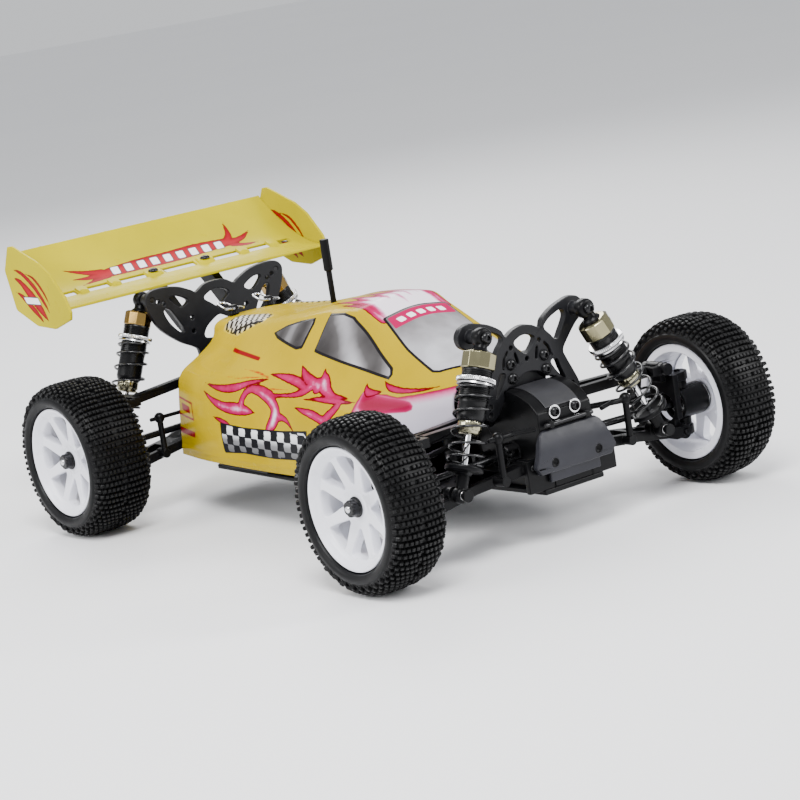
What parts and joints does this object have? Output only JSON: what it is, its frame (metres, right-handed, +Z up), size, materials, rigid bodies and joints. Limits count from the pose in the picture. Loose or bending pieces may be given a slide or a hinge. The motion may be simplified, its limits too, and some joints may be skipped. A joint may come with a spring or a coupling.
{
  "type": "rc buggy",
  "caption": "Four-wheel-drive off-road model buggy with coil-over suspension, steering linkage, shaft drive, painted shell and rear wing.",
  "frame": {"origin": "on the ground under the middle of the car's box", "axes": "+X towards the nose, +Y towards the car's left side, +Z up"},
  "size_m": [0.398, 0.2472, 0.1565],
  "materials": {
    "battery": "blue heat-shrink sleeve",
    "black_plastic": "satin black glass-filled nylon",
    "body": "gloss painted polycarbonate",
    "brass": "machined brass",
    "carbon_black": "satin dark composite plate",
    "chrome_shaft": "polished shaft",
    "dark_steel": "blackened steel",
    "grey_plastic": "satin dark grey nylon",
    "motor": "satin steel can",
    "rim": "gloss white moulded nylon",
    "steel": "bright steel",
    "tyre": "matte pin-tread rubber",
    "white_plastic": "white nylon",
    "wing": "gloss yellow moulded plastic"
  },
  "bodies": {
    "chassis": {"chassis": "black_plastic", "gearbox_housings": "grey_plastic", "front_shock_tower": "carbon_black", "rear_shock_tower": "carbon_black", "front_bumper": "grey_plastic", "body_shell": "body", "rear_wing": "wing", "battery_pack": "battery", "motor": "motor", "steering_servo": "black_plastic", "radio_and_antenna": "black_plastic", "steel_hardware": "steel"},
    "arm_fl": {"lower_arm_fl": "black_plastic"},
    "upper_fl": {"upper_arm_fl": "black_plastic"},
    "carrier_fl": {"steering_carrier_fl": "black_plastic"},
    "knuckle_fl": {"steering_knuckle_fl": "black_plastic"},
    "wheel_fl": {"tyre_fl": "tyre", "rim_fl": "rim"},
    "damper_fl": {"shock_body_fl": "black_plastic", "shock_spring_fl": "dark_steel"},
    "plunger_fl": {"shock_shaft_fl": "chrome_shaft"},
    "driveshaft_fl": {"driveshaft_fl": "dark_steel"},
    "arm_fr": {"lower_arm_fr": "black_plastic"},
    "upper_fr": {"upper_arm_fr": "black_plastic"},
    "carrier_fr": {"steering_carrier_fr": "black_plastic"},
    "knuckle_fr": {"steering_knuckle_fr": "black_plastic"},
    "wheel_fr": {"tyre_fr": "tyre", "rim_fr": "rim"},
    "damper_fr": {"shock_body_fr": "black_plastic", "shock_spring_fr": "dark_steel"},
    "plunger_fr": {"shock_shaft_fr": "chrome_shaft"},
    "driveshaft_fr": {"driveshaft_fr": "dark_steel"},
    "arm_rl": {"lower_arm_rl": "black_plastic"},
    "upper_rl": {"upper_link_rl": "black_plastic"},
    "hub_rl": {"hub_carrier_rl": "black_plastic"},
    "wheel_rl": {"tyre_rl": "tyre", "rim_rl": "rim"},
    "damper_rl": {"shock_body_rl": "black_plastic", "shock_spring_rl": "dark_steel"},
    "plunger_rl": {"shock_shaft_rl": "chrome_shaft"},
    "driveshaft_rl": {"driveshaft_rl": "dark_steel"},
    "arm_rr": {"lower_arm_rr": "black_plastic"},
    "upper_rr": {"upper_link_rr": "black_plastic"},
    "hub_rr": {"hub_carrier_rr": "black_plastic"},
    "wheel_rr": {"tyre_rr": "tyre", "rim_rr": "rim"},
    "damper_rr": {"shock_body_rr": "black_plastic", "shock_spring_rr": "dark_steel"},
    "plunger_rr": {"shock_shaft_rr": "chrome_shaft"},
    "driveshaft_rr": {"driveshaft_rr": "dark_steel"},
    "servo_horn": {"servo_horn": "white_plastic"},
    "crank_left": {"bellcrank_left": "black_plastic"},
    "crank_right": {"bellcrank_right": "black_plastic"},
    "drag_link": {"drag_link": "black_plastic"},
    "tie_rod_left": {"tie_rod_left": "dark_steel"},
    "tie_rod_right": {"tie_rod_right": "dark_steel"},
    "prop_shaft": {"centre_driveshaft": "dark_steel"},
    "pinion": {"motor_pinion": "brass"},
    "diff_front": {"front_diff": "dark_steel"},
    "diff_rear": {"rear_diff": "dark_steel"}
  },
  "joints": [
    {"name": "susp_fl", "type": "hinge", "parent": "chassis", "child": "arm_fl", "pos_m": [0.156, 0.024, 0.04], "axis": [1, 0, 0], "range_deg": [0, 15], "stiffness_Nm_per_rad": 1.8, "springref_deg": -17.19},
    {"name": "upper_swing_fl", "type": "hinge", "parent": "chassis", "child": "upper_fl", "pos_m": [0.156, 0.024, 0.062], "axis": [1, 0, 0], "range_deg": [0, 16.3]},
    {"name": "camber_fl", "type": "hinge", "parent": "arm_fl", "child": "carrier_fl", "pos_m": [0.156, 0.086, 0.03], "axis": [1, 0, 0], "range_deg": [-9.6, 0]},
    {"name": "steering", "type": "hinge", "parent": "carrier_fl", "child": "knuckle_fl", "pos_m": [0.156, 0.094, 0.043], "axis": [0, 0, 1], "range_deg": [-22, 22]},
    {"name": "spin_fl", "type": "hinge", "parent": "knuckle_fl", "child": "wheel_fl", "pos_m": [0.156, 0.105, 0.043], "axis": [0, 1, 0], "continuous": true},
    {"name": "damper_swing_fl", "type": "hinge", "parent": "chassis", "child": "damper_fl", "pos_m": [0.1635, 0.0328, 0.106], "axis": [1, 0, 0], "range_deg": [0, 3.7]},
    {"name": "plunger_slide_fl", "type": "slide", "parent": "damper_fl", "child": "plunger_fl", "axis": [-0.1043, -0.4238, 0.8997], "range_m": [0, 0.01], "deforming": ["shock_spring_fl"]},
    {"name": "driveshaft_spin_fl", "type": "hinge", "parent": "arm_fl", "child": "driveshaft_fl", "pos_m": [0.156, 0.0225, 0.045], "axis": [0, 0.9996, -0.028], "continuous": true},
    {"name": "susp_fr", "type": "hinge", "parent": "chassis", "child": "arm_fr", "pos_m": [0.156, -0.024, 0.04], "axis": [-1, 0, 0], "range_deg": [0, 15], "stiffness_Nm_per_rad": 1.8, "springref_deg": -17.19},
    {"name": "upper_swing_fr", "type": "hinge", "parent": "chassis", "child": "upper_fr", "pos_m": [0.156, -0.024, 0.062], "axis": [-1, 0, 0], "range_deg": [0, 16.3]},
    {"name": "camber_fr", "type": "hinge", "parent": "arm_fr", "child": "carrier_fr", "pos_m": [0.156, -0.086, 0.03], "axis": [-1, 0, 0], "range_deg": [-9.6, 0]},
    {"name": "steering_right", "type": "hinge", "parent": "carrier_fr", "child": "knuckle_fr", "pos_m": [0.156, -0.094, 0.043], "axis": [0, 0, 1], "range_deg": [-22.1, 22.1]},
    {"name": "spin_fr", "type": "hinge", "parent": "knuckle_fr", "child": "wheel_fr", "pos_m": [0.156, -0.105, 0.043], "axis": [0, 1, 0], "continuous": true},
    {"name": "damper_swing_fr", "type": "hinge", "parent": "chassis", "child": "damper_fr", "pos_m": [0.1635, -0.0328, 0.106], "axis": [-1, 0, 0], "range_deg": [0, 3.7]},
    {"name": "plunger_slide_fr", "type": "slide", "parent": "damper_fr", "child": "plunger_fr", "axis": [-0.1043, 0.4238, 0.8997], "range_m": [0, 0.01], "deforming": ["shock_spring_fr"]},
    {"name": "driveshaft_spin_fr", "type": "hinge", "parent": "arm_fr", "child": "driveshaft_fr", "pos_m": [0.156, -0.0225, 0.045], "axis": [0, 0.9996, 0.028], "continuous": true},
    {"name": "susp_rl", "type": "hinge", "parent": "chassis", "child": "arm_rl", "pos_m": [-0.114, 0.024, 0.04], "axis": [1, 0, 0], "range_deg": [0, 15], "stiffness_Nm_per_rad": 1.8, "springref_deg": -17.19},
    {"name": "upper_swing_rl", "type": "hinge", "parent": "chassis", "child": "upper_rl", "pos_m": [-0.106, 0.024, 0.072], "axis": [1, 0, 0], "range_deg": [0, 16.1]},
    {"name": "camber_rl", "type": "hinge", "parent": "arm_rl", "child": "hub_rl", "pos_m": [-0.114, 0.086, 0.03], "axis": [1, 0, 0], "range_deg": [-13.1, 0]},
    {"name": "drive", "type": "hinge", "parent": "hub_rl", "child": "wheel_rl", "pos_m": [-0.114, 0.105, 0.043], "axis": [0, 1, 0], "continuous": true},
    {"name": "damper_swing_rl", "type": "hinge", "parent": "chassis", "child": "damper_rl", "pos_m": [-0.1322, 0.0425, 0.117], "axis": [1, 0, 0], "range_deg": [0, 2.6]},
    {"name": "plunger_slide_rl", "type": "slide", "parent": "damper_rl", "child": "plunger_rl", "axis": [-0.0337, -0.3937, 0.9186], "range_m": [0, 0.0128], "deforming": ["shock_spring_rl"]},
    {"name": "driveshaft_spin_rl", "type": "hinge", "parent": "arm_rl", "child": "driveshaft_rl", "pos_m": [-0.114, 0.0225, 0.045], "axis": [0, 0.9996, -0.0296], "continuous": true},
    {"name": "susp_rr", "type": "hinge", "parent": "chassis", "child": "arm_rr", "pos_m": [-0.114, -0.024, 0.04], "axis": [-1, 0, 0], "range_deg": [0, 15], "stiffness_Nm_per_rad": 1.8, "springref_deg": -17.19},
    {"name": "upper_swing_rr", "type": "hinge", "parent": "chassis", "child": "upper_rr", "pos_m": [-0.106, -0.024, 0.072], "axis": [-1, 0, 0], "range_deg": [0, 16.1]},
    {"name": "camber_rr", "type": "hinge", "parent": "arm_rr", "child": "hub_rr", "pos_m": [-0.114, -0.086, 0.03], "axis": [-1, 0, 0], "range_deg": [-13.1, 0]},
    {"name": "spin_rr", "type": "hinge", "parent": "hub_rr", "child": "wheel_rr", "pos_m": [-0.114, -0.105, 0.043], "axis": [0, 1, 0], "continuous": true},
    {"name": "damper_swing_rr", "type": "hinge", "parent": "chassis", "child": "damper_rr", "pos_m": [-0.1322, -0.0425, 0.117], "axis": [-1, 0, 0], "range_deg": [0, 2.6]},
    {"name": "plunger_slide_rr", "type": "slide", "parent": "damper_rr", "child": "plunger_rr", "axis": [-0.0337, 0.3937, 0.9186], "range_m": [0, 0.0128], "deforming": ["shock_spring_rr"]},
    {"name": "driveshaft_spin_rr", "type": "hinge", "parent": "arm_rr", "child": "driveshaft_rr", "pos_m": [-0.114, -0.0225, 0.045], "axis": [0, 0.9996, 0.0296], "continuous": true},
    {"name": "servo_turn", "type": "hinge", "parent": "chassis", "child": "servo_horn", "pos_m": [0.08, 0.02, 0.058], "axis": [0, 0, 1], "range_deg": [-22.1, 22.1]},
    {"name": "crank_turn_left", "type": "hinge", "parent": "chassis", "child": "crank_left", "pos_m": [0.11, 0.02, 0.05], "axis": [0, 0, 1], "range_deg": [-22.1, 22.1]},
    {"name": "crank_turn_right", "type": "hinge", "parent": "chassis", "child": "crank_right", "pos_m": [0.11, -0.02, 0.05], "axis": [0, 0, 1], "range_deg": [-22.1, 22.1]},
    {"name": "drag_link_turn", "type": "hinge", "parent": "crank_left", "child": "drag_link", "pos_m": [0.093, 0.02, 0.062], "axis": [0, 0, 1], "range_deg": [-22.1, 22.1]},
    {"name": "tie_rod_swing_left", "type": "hinge", "parent": "drag_link", "child": "tie_rod_left", "pos_m": [0.1225, 0.019, 0.05], "axis": [1, 0, 0], "range_deg": [0, 13.7]},
    {"name": "tie_rod_swing_right", "type": "hinge", "parent": "drag_link", "child": "tie_rod_right", "pos_m": [0.1225, -0.019, 0.05], "axis": [-1, 0, 0], "range_deg": [0, 13.7]},
    {"name": "prop_spin", "type": "hinge", "parent": "chassis", "child": "prop_shaft", "pos_m": [0.021, 0, 0.045], "axis": [1, 0, 0], "continuous": true},
    {"name": "pinion_spin", "type": "hinge", "parent": "chassis", "child": "pinion", "pos_m": [-0.02, 0.023, 0.05031], "axis": [1, 0, 0], "continuous": true},
    {"name": "diff_spin_front", "type": "hinge", "parent": "chassis", "child": "diff_front", "pos_m": [0.156, 0, 0.045], "axis": [0, 1, 0], "continuous": true},
    {"name": "diff_spin_rear", "type": "hinge", "parent": "chassis", "child": "diff_rear", "pos_m": [-0.114, 0, 0.045], "axis": [0, 1, 0], "continuous": true}
  ],
  "couplings": [
    {"joint": "upper_swing_fl", "follows": "susp_fl", "ratio": 1.083},
    {"joint": "camber_fl", "follows": "susp_fl", "ratio": -0.631},
    {"joint": "spin_fl", "follows": "drive", "ratio": 1},
    {"joint": "damper_swing_fl", "follows": "susp_fl", "ratio": 0.2405},
    {"joint": "plunger_slide_fl", "follows": "susp_fl", "m_per_rad": 0.03768},
    {"joint": "driveshaft_spin_fl", "follows": "drive", "ratio": 1},
    {"joint": "upper_swing_fr", "follows": "susp_fr", "ratio": 1.083},
    {"joint": "camber_fr", "follows": "susp_fr", "ratio": -0.631},
    {"joint": "steering_right", "follows": "steering", "ratio": 1},
    {"joint": "spin_fr", "follows": "drive", "ratio": 1},
    {"joint": "damper_swing_fr", "follows": "susp_fr", "ratio": 0.2405},
    {"joint": "plunger_slide_fr", "follows": "susp_fr", "m_per_rad": 0.03768},
    {"joint": "driveshaft_spin_fr", "follows": "drive", "ratio": 1},
    {"joint": "upper_swing_rl", "follows": "susp_rl", "ratio": 1.067},
    {"joint": "camber_rl", "follows": "susp_rl", "ratio": -0.8635},
    {"joint": "damper_swing_rl", "follows": "susp_rl", "ratio": 0.1647},
    {"joint": "plunger_slide_rl", "follows": "susp_rl", "m_per_rad": 0.0485},
    {"joint": "driveshaft_spin_rl", "follows": "drive", "ratio": 1},
    {"joint": "upper_swing_rr", "follows": "susp_rr", "ratio": 1.067},
    {"joint": "camber_rr", "follows": "susp_rr", "ratio": -0.8635},
    {"joint": "spin_rr", "follows": "drive", "ratio": 1},
    {"joint": "damper_swing_rr", "follows": "susp_rr", "ratio": 0.1647},
    {"joint": "plunger_slide_rr", "follows": "susp_rr", "m_per_rad": 0.0485},
    {"joint": "driveshaft_spin_rr", "follows": "drive", "ratio": 1},
    {"joint": "servo_turn", "follows": "steering", "ratio": 1},
    {"joint": "crank_turn_left", "follows": "steering", "ratio": 1},
    {"joint": "crank_turn_right", "follows": "steering", "ratio": 1},
    {"joint": "drag_link_turn", "follows": "steering", "ratio": -1},
    {"joint": "tie_rod_swing_left", "follows": "susp_fl", "ratio": 0.905},
    {"joint": "tie_rod_swing_right", "follows": "susp_fr", "ratio": 0.905},
    {"joint": "prop_spin", "follows": "drive", "ratio": 2.9231},
    {"joint": "pinion_spin", "follows": "drive", "ratio": -8.5744},
    {"joint": "diff_spin_front", "follows": "drive", "ratio": 1},
    {"joint": "diff_spin_rear", "follows": "drive", "ratio": 1}
  ]
}
